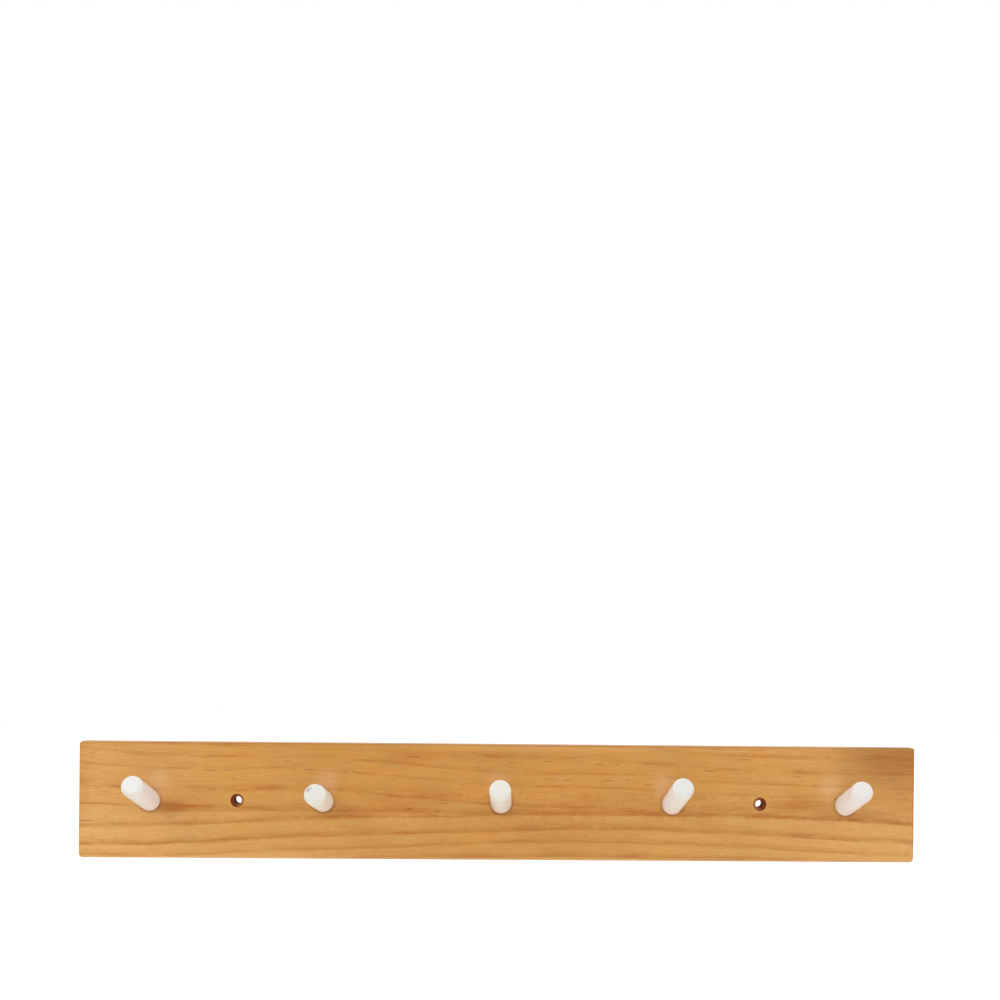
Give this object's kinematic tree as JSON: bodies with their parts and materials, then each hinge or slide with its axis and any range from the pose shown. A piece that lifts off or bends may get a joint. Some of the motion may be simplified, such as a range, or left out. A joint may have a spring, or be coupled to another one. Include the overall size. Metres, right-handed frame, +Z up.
{
  "type": "peg rail",
  "caption": "Lacquered pine wall rail with a row of straight white painted dowel pegs tilted upward and two countersunk wall-screw holes.",
  "frame": {"origin": "centre of the board's flat back face, where it meets the wall", "axes": "+X along the board's length, +Y into the wall (outward normal of the back face), +Z up; the pegs stand out towards -Y"},
  "size_m": [0.6, 0.0693, 0.083],
  "materials": {
    "pine_board": "honey-toned pine with a satin clear lacquer",
    "white_paint": "dowel painted satin white",
    "screw_zinc": "bright zinc-plated steel"
  },
  "bodies": {
    "root": {"rail_board": "pine_board", "peg_1": "white_paint", "peg_2": "white_paint", "peg_3": "white_paint", "peg_4": "white_paint", "peg_5": "white_paint", "peg_screw_1": "screw_zinc", "peg_screw_2": "screw_zinc", "peg_screw_3": "screw_zinc", "peg_screw_4": "screw_zinc", "peg_screw_5": "screw_zinc"}
  },
  "joints": []
}
